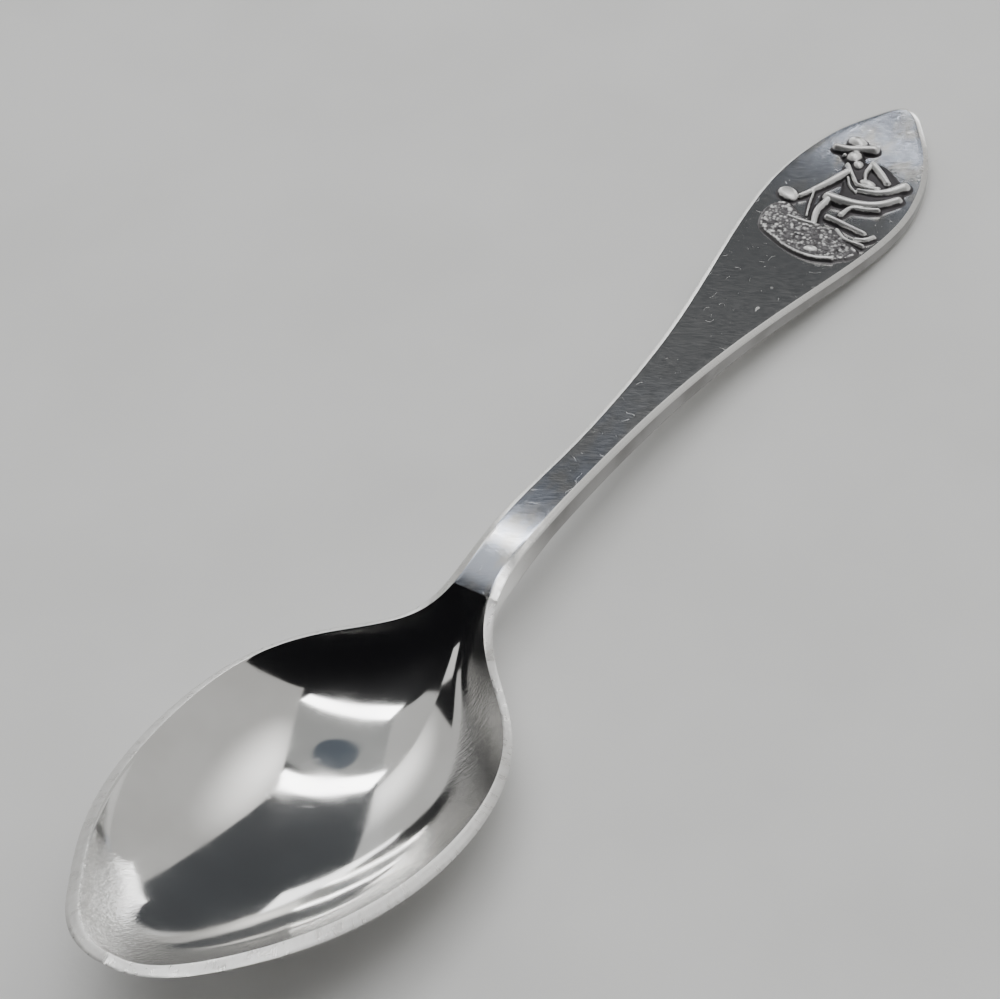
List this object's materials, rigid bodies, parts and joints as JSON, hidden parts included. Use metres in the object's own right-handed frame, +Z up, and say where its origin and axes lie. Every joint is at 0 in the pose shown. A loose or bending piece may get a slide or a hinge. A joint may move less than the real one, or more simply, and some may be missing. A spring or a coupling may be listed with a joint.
{
  "type": "souvenir spoon",
  "caption": "Small silver souvenir spoon: egg-shaped bowl with a flat-ground rim, flat handle widening to a pointed oval end with a gold panner in low relief.",
  "frame": {"origin": "middle of the small flat under the bowl, on the surface that the spoon lies on", "axes": "+X along the spoon from the bowl to the handle's end, +Z up out of the bowl"},
  "size_m": [0.1117, 0.0258, 0.013],
  "materials": {
    "polished_silver_bowl": "mirror-polished silver with a cross-ground rim",
    "polished_silver_handle": "polished silver with fine cross scratches",
    "satin_silver_relief": "struck silver, softly worn on the high points",
    "satin_silver_gravel": "struck silver, pebbled"
  },
  "bodies": {
    "root": {"bowl": "polished_silver_bowl", "handle": "polished_silver_handle", "relief_panner": "satin_silver_relief", "relief_pan": "satin_silver_relief", "relief_gravel": "satin_silver_gravel"}
  },
  "joints": []
}
